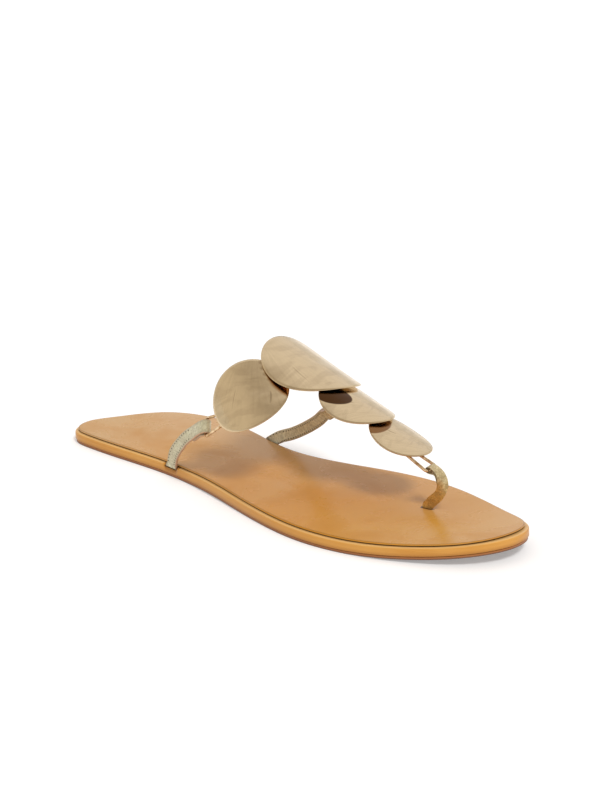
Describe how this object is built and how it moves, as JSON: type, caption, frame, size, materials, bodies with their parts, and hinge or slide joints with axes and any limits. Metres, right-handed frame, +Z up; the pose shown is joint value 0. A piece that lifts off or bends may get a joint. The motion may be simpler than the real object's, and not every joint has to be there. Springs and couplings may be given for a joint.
{
  "type": "flat toe-post sandal",
  "caption": "Right-foot flat leather sandal: layered sole, toe post and side straps, joined by lapped bent metal discs down the instep.",
  "frame": {"origin": "on the ground under the middle of the sole's length and width", "axes": "+X to the outer side of the foot, +Y to the toe, +Z up"},
  "size_m": [0.0796, 0.2478, 0.0625],
  "materials": {
    "outsole_leather": "dark reddish-brown leather, dull",
    "midsole_leather": "tan-orange burnished leather edge",
    "insole_leather": "smooth tan leather, lightly polished",
    "strap_leather": "pale gold metallic leather, stitched edges",
    "wire_metal": "polished gold-coloured wire",
    "disc_metal": "brushed champagne-gold sheet"
  },
  "bodies": {
    "root": {"outsole": "outsole_leather", "midsole": "midsole_leather", "insole": "insole_leather", "disc_lateral": "disc_metal", "disc_top": "disc_metal", "disc_third": "disc_metal", "disc_toe": "disc_metal", "ring_lateral": "wire_metal", "ring_medial": "wire_metal", "ring_toe": "wire_metal", "solder_disc_lateral": "wire_metal", "solder_disc_third": "wire_metal", "solder_disc_toe": "wire_metal", "strap_lateral": "strap_leather", "strap_medial": "strap_leather", "toe_post": "strap_leather"}
  },
  "joints": []
}
